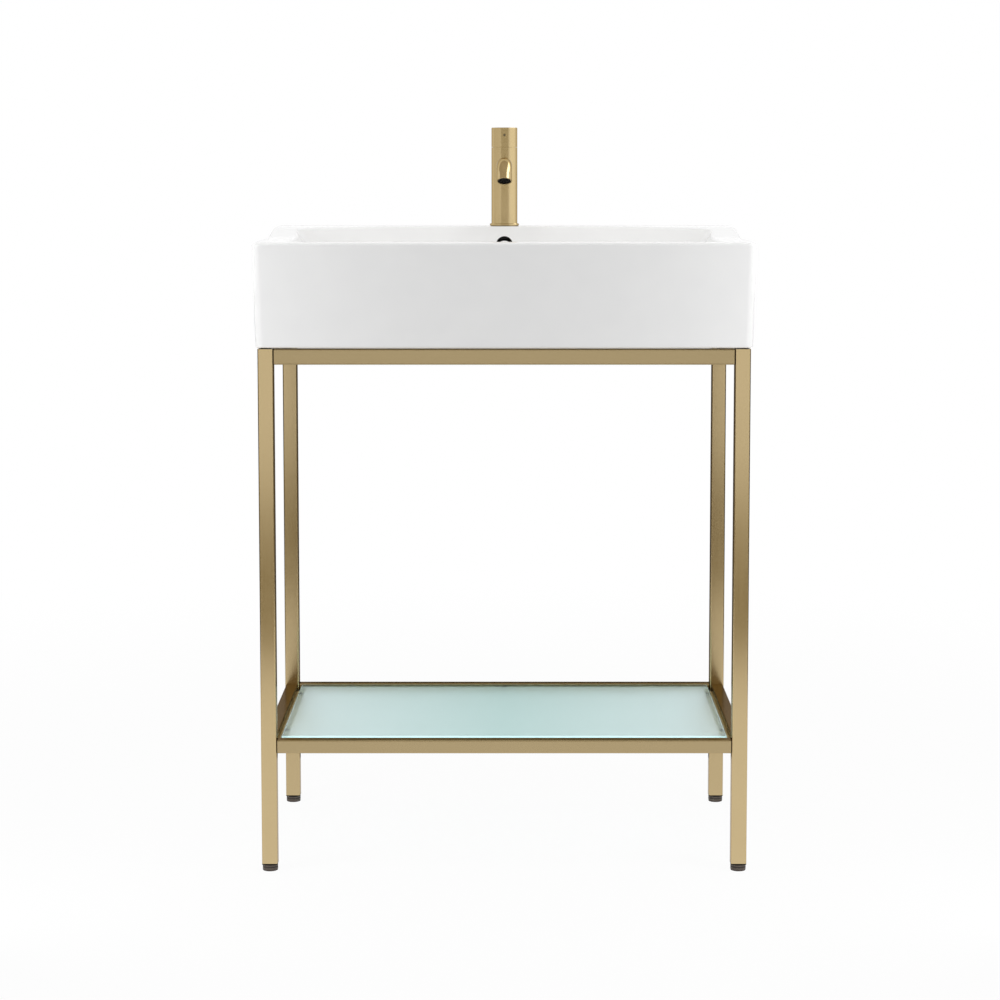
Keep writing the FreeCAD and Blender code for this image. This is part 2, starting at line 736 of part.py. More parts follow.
def make_shelf():
    glass = new_body("shelf_glass", ("0", "0", f"({GLASS_TOP} - glass_thickness)"))
    plate = new_sketch(glass, "XY_Plane")
    side = f"({RAIL_INNER_X} - glass_gap)"
    front = f"({RAIL_INNER_FRONT} + glass_gap)"
    rear = f"({RAIL_INNER_REAR} - glass_gap)"
    add_outline(plate, rectangle(f"(-{side})", side, front, rear, "glass_corner"))
    slab = pad(glass, plate, "glass_thickness")
    doc.recompute()
    flat_edges = [
        f"Edge{i}" for i, edge in enumerate(slab.Shape.Edges, start=1)
        if abs(edge.Vertexes[0].Z - edge.Vertexes[-1].Z) < ON_LEVEL
    ]
    bevel = glass.newObject("PartDesign::Chamfer", "glass_bevel")
    bevel.Base = (slab, flat_edges)
    bind(bevel, "Size", "glass_bevel")
    keep(glass)

    sole = f"({LEDGE_TOP} - ledge_thickness)"
    inner_front = f"({RAIL_INNER_FRONT} + ledge_width)"
    inner_rear = f"({RAIL_INNER_REAR} - ledge_width)"
    long_bar = (CROSS_LENGTH, "ledge_width", "ledge_thickness")
    short_bar = ("ledge_width", f"({inner_rear} - {inner_front})", "ledge_thickness")
    end = f"(-{CROSS_LENGTH} / 2)"
    keep(box("shelf_ledge_front", long_bar, (end, RAIL_INNER_FRONT, sole)))
    keep(box("shelf_ledge_rear", long_bar, (end, inner_rear, sole)))
    keep(box("shelf_ledge_left", short_bar, (f"(-{RAIL_INNER_X})", inner_front, sole)))
    keep(box("shelf_ledge_right", short_bar, (f"({RAIL_INNER_X} - ledge_width)", inner_front, sole)))

    bearing = "(ledge_width - bumper_diameter / 2)"
    column = f"({RAIL_INNER_X} - {bearing})"
    rows = (f"({RAIL_INNER_FRONT} + bumper_setback)", f"({RAIL_INNER_REAR} - bumper_setback)")
    places = [(f"({sign} * {column})", y) for sign in ("-1", "1") for y in rows]
    places += [("0", f"({RAIL_INNER_FRONT} + {bearing})"), ("0", f"({RAIL_INNER_REAR} - {bearing})")]
    bumpers = [
        cylinder(f"bumper_{i}", "bumper_diameter", "bumper_height", (*spot, LEDGE_TOP))
        for i, spot in enumerate(places)
    ]
    group("glass_bumpers", bumpers)


# Levelling feet

def make_foot(row, hand, x, y):
    """A grooved puck on a threaded stud, with a soft sole."""
    at = (x, y, "0")
    sole = "(puck_diameter / 2 - sole_inset)"
    keep(turned(f"foot_sole_{row}_{hand}", at, rectangle("0", sole, "0", "sole_height")))
    rim = "(puck_diameter / 2)"
    waist = f"({rim} - puck_groove)"
    bore = "(stud_diameter / 2)"
    seat = "(sole_height + stud_seat)"
    top = "(sole_height + puck_height)"
    groove_low = "(sole_height + puck_height / 2 - puck_groove_height / 2)"
    groove_high = f"({groove_low} + puck_groove_height)"
    keep(turned(f"foot_puck_{row}_{hand}", at, [
        ("0", "sole_height"),
        (rim, "sole_height"),
        (rim, groove_low),
        (waist, groove_low),
        (waist, groove_high),
        (rim, groove_high),
        (rim, f"({top} - puck_edge)"),
        (f"({rim} - puck_edge)", top),
        (bore, top),
        (bore, seat),
        ("0", seat),
    ]))
    keep(cylinder(f"foot_stud_{row}_{hand}", "stud_diameter", "stud_length", (x, y, seat)))


# Tap, from the deck up

TAP = ("0", TAP_Y, DECK)
TAP_FOOT = "(gasket_height + ring_height)"
TAP_TOP = "(tap_height - tap_cap_height - tap_cap_gap)"
SHANK_BORE = "(shank_diameter + 2 * tap_fit)"
SEAT = "(spout_height + spout_diameter / 2 + cartridge_seat_wall)"
SHOULDER = f"({TAP_TOP} - cartridge_nut_engage)"
NECK_TOP = f"({TAP_TOP} + cartridge_rise)"
CARTRIDGE_BORE = "(cartridge_diameter + 2 * tap_fit)"
CEILING = "(tap_height - tap_cap_top)"
SOCKET_FOOT = f"({CEILING} - socket_depth - socket_roof)"
CAP_CAVITY = "(tap_diameter / 2 - tap_cap_wall)"
UNDER_DECK = "(-rim_plate - deck_rise)"


def make_tap_body():
    rim = "(tap_diameter / 2)"
    shank = f"({SHANK_BORE} / 2)"
    body = turned("tap_body", TAP, [
        (shank, TAP_FOOT),
        (rim, TAP_FOOT),
        (rim, TAP_TOP),
        (f"({CARTRIDGE_BORE} / 2)", TAP_TOP),
        (f"({CARTRIDGE_BORE} / 2)", SEAT),
        ("(tap_chamber / 2)", SEAT),
        ("(tap_chamber / 2)", f"({TAP_FOOT} + shank_engage)"),
        (shank, f"({TAP_FOOT} + shank_engage)"),
    ])
    socket = new_sketch(body, "XZ_Plane", "spout_seat")
    add_circle(socket, "0", "spout_height", "(spout_diameter + 2 * tap_fit)")
    pocket(body, socket, turned=True)
    waterway = new_sketch(body, "XZ_Plane")
    add_circle(waterway, "0", "spout_height", "(spout_diameter - 2 * spout_wall)")
    pocket(body, waterway, "spout_seat + tap_fit", turned=True)
    keep(body)


def make_spout():
    """A bent tube that leaves the body level and turns down to an outlet that leans towards the user."""
    body = new_body("tap_spout", TAP)
    section = new_sketch(body, "XZ_Plane", "spout_seat")
    add_circle(section, "0", "spout_height", "spout_diameter")
    add_circle(section, "0", "spout_height", "(spout_diameter - 2 * spout_wall)")
    route = new_sketch(body, "YZ_Plane")
    start = Vector(-value("spout_seat"), value("spout_height"), 0)
    bend_from = "-spout_reach + spout_bend * cos(outlet_tilt) + spout_tail * sin(outlet_tilt)"
    bend = Vector(value(bend_from), start.y, 0)
    centre = bend - Vector(0, value("spout_bend"), 0)
    turn = math.radians(value("90 - outlet_tilt"))
    bent = centre + Vector(-math.sin(turn), math.cos(turn), 0) * value("spout_bend")
    end = bent + Vector(-math.cos(turn), -math.sin(turn), 0) * value("spout_tail")
    level = route.addGeometry(Part.LineSegment(start, bend))
    circle = Part.Circle(centre, Vector(0, 0, 1), value("spout_bend"))
    arc = route.addGeometry(Part.ArcOfCircle(circle, math.pi / 2, math.pi / 2 + turn))
    tail = route.addGeometry(Part.LineSegment(bent, end))
    route.addConstraint([
        Sketcher.Constraint("Horizontal", level),
        Sketcher.Constraint("Tangent", level, 2, arc, 1),
        Sketcher.Constraint("Tangent", arc, 2, tail, 1),
    ])
    hold(route, (level, 1), "(-spout_seat)", "spout_height")
    for kind, about, text in (
        ("Radius", (arc,), "spout_bend"),
        ("Distance", (tail, 1, tail, 2), "spout_tail"),
        ("DistanceX", (-1, 1, tail, 2), "-spout_reach"),
    ):
        index = route.addConstraint(Sketcher.Constraint(kind, *about, value(text)))
        bind(route, f"Constraints[{index}]", text)
    lean = math.atan2(end.y - bent.y, end.x - bent.x)
    index = route.addConstraint(Sketcher.Constraint("Angle", tail, lean))
    bind(route, f"Constraints[{index}]", "(-90 - outlet_tilt) * 1 deg")
    pipe = body.newObject("PartDesign::AdditivePipe", "spout_pipe")
    pipe.Profile = section
    pipe.Spine = route
    keep(body)


def make_aerator():
    """The black outlet: a threaded shell in the end of the spout and its insert."""
    drop = "(spout_bend * (1 - sin(outlet_tilt)) + spout_tail * cos(outlet_tilt))"
    outlet = ("0", f"({TAP_Y} - spout_reach)", f"({DECK} + spout_height - {drop})")
    bore = "(spout_diameter / 2 - spout_wall - tap_fit)"
    inner = f"({bore} - aerator_wall)"
    shell = turned("tap_aerator_shell", outlet, rectangle(inner, bore, "aerator_recess", "aerator_length"))
    face = "(aerator_recess + aerator_insert_recess)"
    back = f"({face} + aerator_insert_height)"
    insert = turned("tap_aerator_insert", outlet, rectangle("0", f"({inner} - tap_fit)", face, back))
    for piece in (shell, insert):
        piece.Placement = Placement(piece.Placement.Base, Rotation(Vector(-1, 0, 0), value("outlet_tilt")))
        bind(piece, "Placement.Rotation.Angle", "outlet_tilt")
        keep(piece)


def make_valve():
    """The valve cartridge, its spindle and the nut that holds it down in the body."""
    neck = "(cartridge_neck / 2)"
    core = "(cartridge_diameter / 2)"
    bore = "(spindle_diameter / 2 + spindle_clearance)"
    bore_foot = f"({NECK_TOP} - cartridge_bore_depth)"
    keep(turned("tap_cartridge", TAP, [
        ("0", SEAT),
        (core, SEAT),
        (core, SHOULDER),
        (neck, SHOULDER),
        (neck, NECK_TOP),
        (bore, NECK_TOP),
        (bore, bore_foot),
        ("0", bore_foot),
    ]))
    nut_inner = f"({neck} + tap_fit)"
    flange_top = f"({TAP_TOP} + cartridge_nut_height)"
    keep(turned("tap_cartridge_nut", TAP, [
        (nut_inner, SHOULDER),
        (core, SHOULDER),
        (core, TAP_TOP),
        ("(cartridge_nut_flange / 2)", TAP_TOP),
        ("(cartridge_nut_flange / 2)", flange_top),
        (nut_inner, flange_top),
    ]))
    spindle_foot = f"({bore_foot} + spindle_end_gap)"
    spindle_top = f"({CEILING} - socket_roof)"
    spindle = rectangle("0", "(spindle_diameter / 2)", spindle_foot, spindle_top)
    keep(turned("tap_spindle", TAP, spindle))


def make_cap():
    """The turning cap, its clamping screw and the index dot that hides the screw."""
    rim = "(tap_diameter / 2)"
    foot = f"({TAP_TOP} + tap_cap_gap)"
    socket = "(spindle_diameter / 2 + tap_fit)"
    cap = turned("tap_cap", TAP, [
        (CAP_CAVITY, foot),
        (rim, foot),
        (rim, "tap_height", "tap_cap_edge"),
        ("0", "tap_height"),
        ("0", f"({CEILING} - socket_roof)"),
        (socket, f"({CEILING} - socket_roof)"),
        (socket, SOCKET_FOOT),
        ("(socket_diameter / 2)", SOCKET_FOOT),
        ("(socket_diameter / 2)", CEILING),
        (CAP_CAVITY, CEILING),
    ])
    hole = new_sketch(cap, "XZ_Plane")
    add_circle(hole, "0", "(tap_height - index_drop)", "(index_diameter + 2 * tap_fit)")
    pocket(cap, hole, turned=True)
    keep(cap)
    level = f"({DECK} + tap_height - index_drop)"
    forward = Vector(0, -1, 0)
    screw_length = "(socket_diameter / 2 - spindle_diameter / 2)"
    screw_at = ("0", f"({TAP_Y} - spindle_diameter / 2)", level)
    keep(cylinder("tap_cap_screw", "index_diameter", screw_length, screw_at, forward))
    dot_at = ("0", f"({TAP_Y} - {CAP_CAVITY})", level)
    keep(cylinder("tap_index", "index_diameter", "tap_cap_wall - index_recess", dot_at, forward))


def make_tap_fixing():
    """The ring and gasket on the deck, and the shank, washers and nut that clamp the tap from below."""
    ring = "(ring_diameter / 2)"
    shank = f"({SHANK_BORE} / 2)"
    keep(turned("tap_base_ring", TAP, [
        (shank, "gasket_height"),
        (ring, "gasket_height"),
        (ring, f"({TAP_FOOT} - ring_edge)"),
        (f"({ring} - ring_edge)", TAP_FOOT),
        (shank, TAP_FOOT),
    ]))
    gasket = "(ring_diameter - 2 * gasket_inset)"
    keep(tube_piece("tap_gasket", TAP, SHANK_BORE, gasket, "0", "gasket_height"))
    rod = rectangle("0", "(shank_diameter / 2)", "(-shank_length)", f"({TAP_FOOT} + shank_engage)")
    body = turned("tap_shank", TAP, rod)
    for diameter, length in (("inlet_diameter", "inlet_depth"), ("waterway_diameter", None)):
        holes = new_sketch(body, "XY_Plane", "(-shank_length)")
        for across in ("(-inlet_spacing / 2)", "(inlet_spacing / 2)"):
            add_circle(holes, across, "0", diameter)
        pocket(body, holes, length, turned=True)
    keep(body)
    rubber_foot = f"({UNDER_DECK} - rubber_washer_height)"
    steel_foot = f"({rubber_foot} - steel_washer_height)"
    nut_foot = f"({steel_foot} - tap_nut_height)"
    keep(tube_piece("tap_rubber_washer", TAP, SHANK_BORE, "clamp_diameter", rubber_foot, UNDER_DECK))
    keep(tube_piece("tap_steel_washer", TAP, SHANK_BORE, "clamp_diameter", steel_foot, rubber_foot))
    nut = new_body("tap_nut", ("0", TAP_Y, f"({DECK} + {nut_foot})"))
    section = new_sketch(nut, "XY_Plane")
    across_corners = "(tap_nut_flats / cos(30))"
    add_outline(section, [
        (f"({across_corners} / 2 * {math.cos(math.radians(turn)):.6f})",
         f"({across_corners} / 2 * {math.sin(math.radians(turn)):.6f})")
        for turn in range(30, 390, 60)
    ])
    add_circle(section, "0", "0", SHANK_BORE)
    pad(nut, section, "tap_nut_height")
    keep(nut)


def write_files():
    """Checks every object of the model and writes each piece to its own file."""
    doc.recompute()
    failed = [o.Label for o in doc.Objects if {"Invalid", "Error"} & set(o.State)]
    for piece in sub_parts:
        shape = piece.Shape
        if shape.isNull() or not shape.isValid() or not shape.Solids:
            failed.append(piece.Label)
    if failed:
        raise RuntimeError(f"these did not build: {failed}")
    os.makedirs("parts", exist_ok=True)
    for piece in sub_parts:
        piece.Shape.exportStep(f"parts/{piece.Label}.step")
    print(len(sub_parts), "pieces written")


make_basin()
make_frame()
make_rail_joints()
make_plugs()
make_basin_pads()
make_shelf()
for leg in LEGS:
    make_foot(*leg)
make_tap_body()
make_spout()
make_aerator()
make_valve()
make_cap()
make_tap_fixing()
write_files()
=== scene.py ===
"""Looks of a console vanity: glazed basin, brushed gold frame and tap, frosted glass shelf, dark feet.

Metres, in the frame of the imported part: +Z is up, and -Y is the front.
"""

import json
import math
from collections import namedtuple

import bmesh
import bpy
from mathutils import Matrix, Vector


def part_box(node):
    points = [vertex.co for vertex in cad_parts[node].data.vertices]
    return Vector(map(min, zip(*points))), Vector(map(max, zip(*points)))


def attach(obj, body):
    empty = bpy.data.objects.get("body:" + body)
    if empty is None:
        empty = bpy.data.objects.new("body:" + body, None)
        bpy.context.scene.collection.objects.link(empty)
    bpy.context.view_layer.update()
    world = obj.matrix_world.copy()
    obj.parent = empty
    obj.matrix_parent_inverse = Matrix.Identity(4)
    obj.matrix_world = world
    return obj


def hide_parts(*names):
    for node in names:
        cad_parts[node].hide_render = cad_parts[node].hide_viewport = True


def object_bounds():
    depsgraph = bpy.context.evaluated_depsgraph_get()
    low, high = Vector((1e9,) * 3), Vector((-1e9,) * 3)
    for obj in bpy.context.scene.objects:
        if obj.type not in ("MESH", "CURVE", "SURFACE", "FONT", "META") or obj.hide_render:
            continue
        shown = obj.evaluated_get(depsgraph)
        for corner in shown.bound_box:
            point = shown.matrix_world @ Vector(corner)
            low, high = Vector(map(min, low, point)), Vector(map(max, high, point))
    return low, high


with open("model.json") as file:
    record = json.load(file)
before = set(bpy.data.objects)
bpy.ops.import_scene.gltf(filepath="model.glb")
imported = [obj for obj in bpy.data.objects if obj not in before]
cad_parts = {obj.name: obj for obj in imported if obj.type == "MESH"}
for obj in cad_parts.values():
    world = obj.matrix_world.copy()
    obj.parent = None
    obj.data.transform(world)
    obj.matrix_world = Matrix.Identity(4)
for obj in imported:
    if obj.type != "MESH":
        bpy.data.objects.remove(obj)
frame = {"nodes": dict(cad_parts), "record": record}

CAD_LOW, CAD_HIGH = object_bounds()
NODES = frame["nodes"]
MM = 0.001
CORNERS = [f"{row}_{hand}" for row in ("front", "rear") for hand in ("left", "right")]
WHITE = (1, 1, 1)
BLACK = (0, 0, 0)


# Shader maths

class Wire:
    """An output of a shader node. Python's operators on wires add Math nodes."""

    def __init__(self, finish, socket):
        self.finish = finish
        self.socket = socket

    def math(self, operation, *terms):
        settings = {"operation": operation}
        return self.finish.node("ShaderNodeMath", settings, dict(enumerate(terms)))["Value"]

    def __add__(self, other):
        return self.math("ADD", self, other)

    def __radd__(self, other):
        return self.math("ADD", other, self)

    def __sub__(self, other):
        return self.math("SUBTRACT", self, other)

    def __rsub__(self, other):
        return self.math("SUBTRACT", other, self)

    def __mul__(self, other):
        return self.math("MULTIPLY", self, other)

    def __rmul__(self, other):
        return self.math("MULTIPLY", other, self)

    def __gt__(self, other):
        return self.math("GREATER_THAN", self, other)

    def __lt__(self, other):
        return self.math("LESS_THAN", self, other)

    def __abs__(self):
        return self.math("ABSOLUTE", self)

    def either(self, other):
        return self.math("MAXIMUM", self, other)


class Finish:
    """The node tree of a material or of the world."""

    def __init__(self, owner):
        owner.use_nodes = True
        self.owner = owner
        self.tree = owner.node_tree

    def node(self, kind, settings=None, sockets=None):
        """Adds a node. Its settings are set first, then the values or wires of its input sockets."""
        made = self.tree.nodes.new(kind)
        for name, setting in (settings or {}).items():
            setattr(made, name, setting)
        for name, given in (sockets or {}).items():
            self.feed(made, name, given)
        return {socket.name: Wire(self, socket) for socket in made.outputs if socket.enabled}

    def feed(self, node, name, given):
        """Gives an input socket, called by its name or its number, a value or a wire."""
        if isinstance(name, int):
            socket = node.inputs[name]
        else:
            socket = next(s for s in node.inputs if s.enabled and s.name == name)
        if isinstance(given, Wire):
            self.tree.links.new(given.socket, socket)
        elif socket.type == "RGBA":
            socket.default_value = (*given, 1)
        else:
            socket.default_value = given

    def position(self):
        """Places on the piece, along X, Y and Z."""
        place = self.node("ShaderNodeTexCoord")["Object"]
        return self.node("ShaderNodeSeparateXYZ", None, {"Vector": place})

    def noise(self, grain, detail=2.0):
        """Noise with patches about as long as the grain: one length, or one each along X, Y and Z."""
        sides = grain if isinstance(grain, tuple) else (grain, grain, grain)
        place = self.node("ShaderNodeTexCoord")["Object"]
        stretch = {"Vector": place, "Scale": [1 / side for side in sides]}
        mapped = self.node("ShaderNodeMapping", {"vector_type": "POINT"}, stretch)["Vector"]
        sockets = {"Vector": mapped, "Scale": 1.0, "Detail": detail}
        return self.node("ShaderNodeTexNoise", None, sockets)["Fac"]

    def blend(self, share, first, second):
        """A colour between two colours."""
        sockets = {"Factor": share, "A": first, "B": second}
        return self.node("ShaderNodeMix", {"data_type": "RGBA"}, sockets)["Result"]

    def bump(self, height, depth, strength):
        sockets = {"Strength": strength, "Distance": depth, "Height": height}
        return self.node("ShaderNodeBump", None, sockets)["Normal"]

    def surface(self, **sockets):
        """Sets the sockets of the material's own shader, which are named with _ for a space."""
        shader = self.tree.nodes["Principled BSDF"]
        for name, given in sockets.items():
            self.feed(shader, name.replace("_", " "), given)
        return self.owner

    def show(self, shader):
        """Puts a shader in the place of the material's or the world's own one."""
        names = ("Material Output", "World Output")
        output = next(node for node in self.tree.nodes if node.name in names)
        self.tree.links.new(shader.socket, output.inputs["Surface"])


def new_finish(name):
    return Finish(bpy.data.materials.new(name))


# Brushed gold

# A brush's depth scales the gold's tone; below one it darkens the gold as painted shade.
Brush = namedtuple("Brush", "depth roughness relief")

GOLD_LIGHT = (0.64, 0.505, 0.285)
GOLD_DARK = (0.53, 0.405, 0.215)
GOLD_EDGE = (0.5, 0.43, 0.33)
TURNED_BRUSH = Brush(1.0, 0.1, 0.5)
# The rails along X and Y take a darker gold than the legs: painted shade.
TUBE_BRUSH = {"x": Brush(0.76, 0.13, 0.2), "y": Brush(0.8, 0.12, 0.2), "z": Brush(1.0, 0.1, 0.5)}
# The rear legs take a darker gold than the front legs: painted shade.
REAR_LEG_SHADED_BRUSH = Brush(0.88, 0.1, 0.5)
# The side ledges take a lighter gold than the side rails beside them: painted light.
SIDE_LEDGE_LIT_BRUSH = Brush(0.95, 0.5, 0.2)
BRUSH_WIDTH = 0.5 * MM
BRUSH_LENGTH = 120 * MM
TURNED_WIDTH = 0.35 * MM
TURNED_LENGTH = 25 * MM
TURNED_GRAIN = (TURNED_LENGTH, TURNED_LENGTH, TURNED_WIDTH)
SCRATCH_DEPTH = 0.02 * MM
GOLD_PATCH = 60 * MM
# A thin band of painted shadow at each end of a rail, where it meets a leg.
JOINT_WIDTH = 1.2 * MM
JOINT_SHADE = (0.05, 0.032, 0.014)


def long_axis(node):
    """The number of the axis along which a node is longest."""
    low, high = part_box(node)
    sides = list(high - low)
    return sides.index(max(sides))


def joint_shadow_lines(finish, rail):
    """One close to both ends of a rail, where it meets the legs, and nought elsewhere: the band of painted
    shadow in the joints.
    """
    along = long_axis(rail)
    low, high = [corner[along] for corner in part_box(rail)]
    place = finish.position()["XYZ"[along]]
    return (place < low + JOINT_WIDTH).either(place > high - JOINT_WIDTH)


def brushed_gold(name, grain, brush, rail=None):
    """Gold coated metal with brush lines and slow changes of tone, darkened as painted shade by a brush
    depth below one and where a rail meets the legs.
    """
    finish = new_finish(name)
    lines = finish.noise(grain, detail=3.0)
    clouds = finish.noise(GOLD_PATCH)
    shade, light = [[brush.depth * part for part in tone] for tone in (GOLD_DARK, GOLD_LIGHT)]
    gold = finish.blend(0.15 + lines * 0.4 + clouds * 0.3, shade, light)
    if rail:
        # Painted shadow in the joints between the rail and the legs.
        gold = finish.blend(joint_shadow_lines(finish, rail), gold, JOINT_SHADE)
    return finish.surface(
        Base_Color=gold,
        Metallic=1.0,
        Specular_Tint=GOLD_EDGE,
        Roughness=brush.roughness + lines * 0.1 + clouds * 0.05,
        Normal=finish.bump(lines, SCRATCH_DEPTH, brush.relief),
    )


def tube_gold(node, made):
    """The gold of a tube or a ledge, brushed along it. Those that lie and are brushed alike share it."""
    along = long_axis(node)
    letter = "xyz"[along]
    # The rear legs take a darker copy of the gold: painted shade.
    if node.startswith("leg_rear"):
        brush = REAR_LEG_SHADED_BRUSH
    # The side ledges take a lighter copy of the gold than the side rails: painted light.
    elif node in ("shelf_ledge_left", "shelf_ledge_right"):
        brush = SIDE_LEDGE_LIT_BRUSH
    else:
        brush = TUBE_BRUSH[letter]
    if (letter, brush) not in made:
        grain = tuple(BRUSH_LENGTH if axis == along else BRUSH_WIDTH for axis in range(3))
        rail = None if letter == "z" else node
        made[letter, brush] = brushed_gold(f"brushed_gold_{letter}", grain, brush, rail)
    return made[letter, brush]


# Glaze

# The back wall of the bowl leans along a line through two points in Y and Z.
BOWL_BACK_LOW = (75 * MM, 801 * MM)
BOWL_BACK_HIGH = (130 * MM, 892 * MM)
# Limits of the overflow's duct: behind that wall, to each side of the middle, and in height.
DUCT_FRONT = 7 * MM
DUCT_BACK = 27 * MM
DUCT_HALF = 16 * MM
DUCT_FOOT = 772 * MM
DUCT_TOP = 900 * MM
DUCT_SHADE = (0.012, 0.012, 0.012)
GLAZE_SHADE = (0.88, 0.88, 0.88)
GLAZE_LIGHT = (0.92, 0.92, 0.915)
BARE_CLAY = (0.78, 0.75, 0.70)
BARE_HEIGHT = 1.2 * MM
GLAZE_WAVE = 45 * MM
GLAZE_WAVE_DEPTH = 0.12 * MM
GLAZE_SPECK = 1.5 * MM


def overflow_duct(place):
    """One inside the overflow's hole and duct, and nought elsewhere on the basin."""
    (low_y, low_z), (high_y, high_z) = BOWL_BACK_LOW, BOWL_BACK_HIGH
    lean = (high_y - low_y) / (high_z - low_z)
    behind = place["Y"] - (low_y + (place["Z"] - low_z) * lean)
    deep = (behind > DUCT_FRONT) * (behind < DUCT_BACK)
    level = (place["Z"] > DUCT_FOOT) * (place["Z"] < DUCT_TOP)
    return deep * level * (abs(place["X"]) < DUCT_HALF)


def white_glaze():
    """Glossy white glaze, bare and matt where the casting stands, with painted shade, nearly black and
    matt, inside the overflow.
    """
    finish = new_finish("white_glaze")
    place = finish.position()
    bare = place["Z"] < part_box("basin")[0].z + BARE_HEIGHT
    duct = overflow_duct(place)
    waves = finish.noise(GLAZE_WAVE, detail=1.0)
    specks = finish.noise(GLAZE_SPECK)
    glazed = finish.blend(bare, finish.blend(waves, GLAZE_SHADE, GLAZE_LIGHT), BARE_CLAY)
    return finish.surface(
        # Painted shade: nearly black inside the overflow's hole and duct.
        Base_Color=finish.blend(duct, glazed, DUCT_SHADE),
        Roughness=0.07 + specks * 0.04 + bare.either(duct) * 0.6,
        Normal=finish.bump(waves, GLAZE_WAVE_DEPTH, 0.6),
    )


# Glass

FROST_SHADED_MIDDLE = (0.65, 0.87, 0.85)
FROST_LIT_SIDES = (0.85, 1.0, 1.0)
GLASS_EDGE = (0.66, 0.96, 0.97)
GLASS_EDGE_WIDTH = 0.9 * MM
FRONT_EDGE_PAINTED_HIGHLIGHT = (0.3, 0.46, 0.48)
FROST_GRAIN = 0.8 * MM
FROST_DEPTH = 0.02 * MM
FROST_PATCH = 180 * MM
FROST_IOR = 1.2


def frosted_glass():
    """Pale aqua glass, frosted on its faces, with painted shade in its middle and lighter to the sides, a
    painted highlight on its front edge, and polished at its edges.
    """
    finish = new_finish("frosted_glass")
    low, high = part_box("shelf_glass")
    middle = (low + high) / 2
    half = (high - low) / 2
    place = finish.position()
    from_middle = abs(place["X"] - middle.x)
    across = from_middle > half.x - GLASS_EDGE_WIDTH
    along = abs(place["Y"] - middle.y) > half.y - GLASS_EDGE_WIDTH
    edge = across.either(along)
    front = place["Y"] < low.y + GLASS_EDGE_WIDTH
    grain = finish.noise(FROST_GRAIN)
    clouds = finish.noise(FROST_PATCH)
    # Painted shade and light: the glass darkens towards its middle and lightens towards its sides.
    frost = finish.blend(from_middle * (0.9 / half.x) + clouds * 0.1, FROST_SHADED_MIDDLE, FROST_LIT_SIDES)
    return finish.surface(
        Base_Color=finish.blend(edge, frost, GLASS_EDGE),
        # A painted highlight: the front edge of the glass glows pale cyan.
        Emission_Color=finish.blend(front, BLACK, FRONT_EDGE_PAINTED_HIGHLIGHT),
        Emission_Strength=1.0,
        Roughness=(1 - edge) * (0.36 + grain * 0.1) + edge * 0.06,
        Transmission_Weight=1.0,
        IOR=FROST_IOR,
        Normal=finish.bump((1 - edge) * grain, FROST_DEPTH, 0.4),
    )


# Plastics, rubbers and bare metals

MOULD_GRAIN = 0.6 * MM
MOULD_DEPTH = 0.05 * MM
MOULD_PATCH = 12 * MM
METAL_PATCH = 8 * MM
PUCK_GROOVE = (4.9 * MM, 6.1 * MM)
PUCK_TOP = 8.5 * MM
PUCK_SHADE = (0.008, 0.006, 0.005)
# The darker and the lighter tone of each.
TONES = {
    "brown_plastic": ((0.082, 0.064, 0.052), (0.115, 0.09, 0.073)),
    "black_plastic": ((0.004, 0.0036, 0.0032), (0.010, 0.009, 0.008)),
    "grey_plastic": ((0.30, 0.31, 0.32), (0.38, 0.39, 0.40)),
    "soft_rubber": ((0.030, 0.018, 0.014), (0.055, 0.034, 0.026)),
    "clear_rubber": ((0.5, 0.52, 0.52), (0.62, 0.64, 0.64)),
    "bright_steel": ((0.52, 0.52, 0.5), (0.66, 0.66, 0.65)),
    "plain_brass": ((0.62, 0.46, 0.21), (0.76, 0.6, 0.32)),
    "index_dot": ((0.10, 0.075, 0.035), (0.14, 0.105, 0.05)),
}


def puck_shadow(height):
    """One in the groove of a foot's puck and round its top, where painted shadow goes, and nought
    elsewhere.
    """
    low, high = PUCK_GROOVE
    return ((height > low) * (height < high)).either(height > PUCK_TOP)


def moulded(name, roughness, gloss=0.5, shadow=None):
    """Moulded plastic or rubber with a fine grain, with painted shadow, nearly black, at the heights that
    a shadow test picks.
    """
    finish = new_finish(name)
    grain = finish.noise(MOULD_GRAIN)
    tone = finish.blend(finish.noise(MOULD_PATCH), *TONES[name])
    if shadow:
        # Painted shadow: nearly black where the test picks, in the groove and under the leg.
        tone = finish.blend(shadow(finish.position()["Z"]), tone, PUCK_SHADE)
    return finish.surface(
        Base_Color=tone,
        Roughness=roughness + grain * 0.15,
        Specular_IOR_Level=gloss,
        Normal=finish.bump(grain, MOULD_DEPTH, 0.4),
    )


def machined(name):
    """Bare metal as it leaves the lathe or the plating bath."""
    finish = new_finish(name)
    lines = finish.noise(TURNED_GRAIN)
    clouds = finish.noise(METAL_PATCH)
    return finish.surface(
        Base_Color=finish.blend(lines * 0.5 + clouds * 0.5, *TONES[name]),
        Metallic=1.0,
        Roughness=0.22 + lines * 0.15,
        Normal=finish.bump(lines, SCRATCH_DEPTH, 0.4),
    )


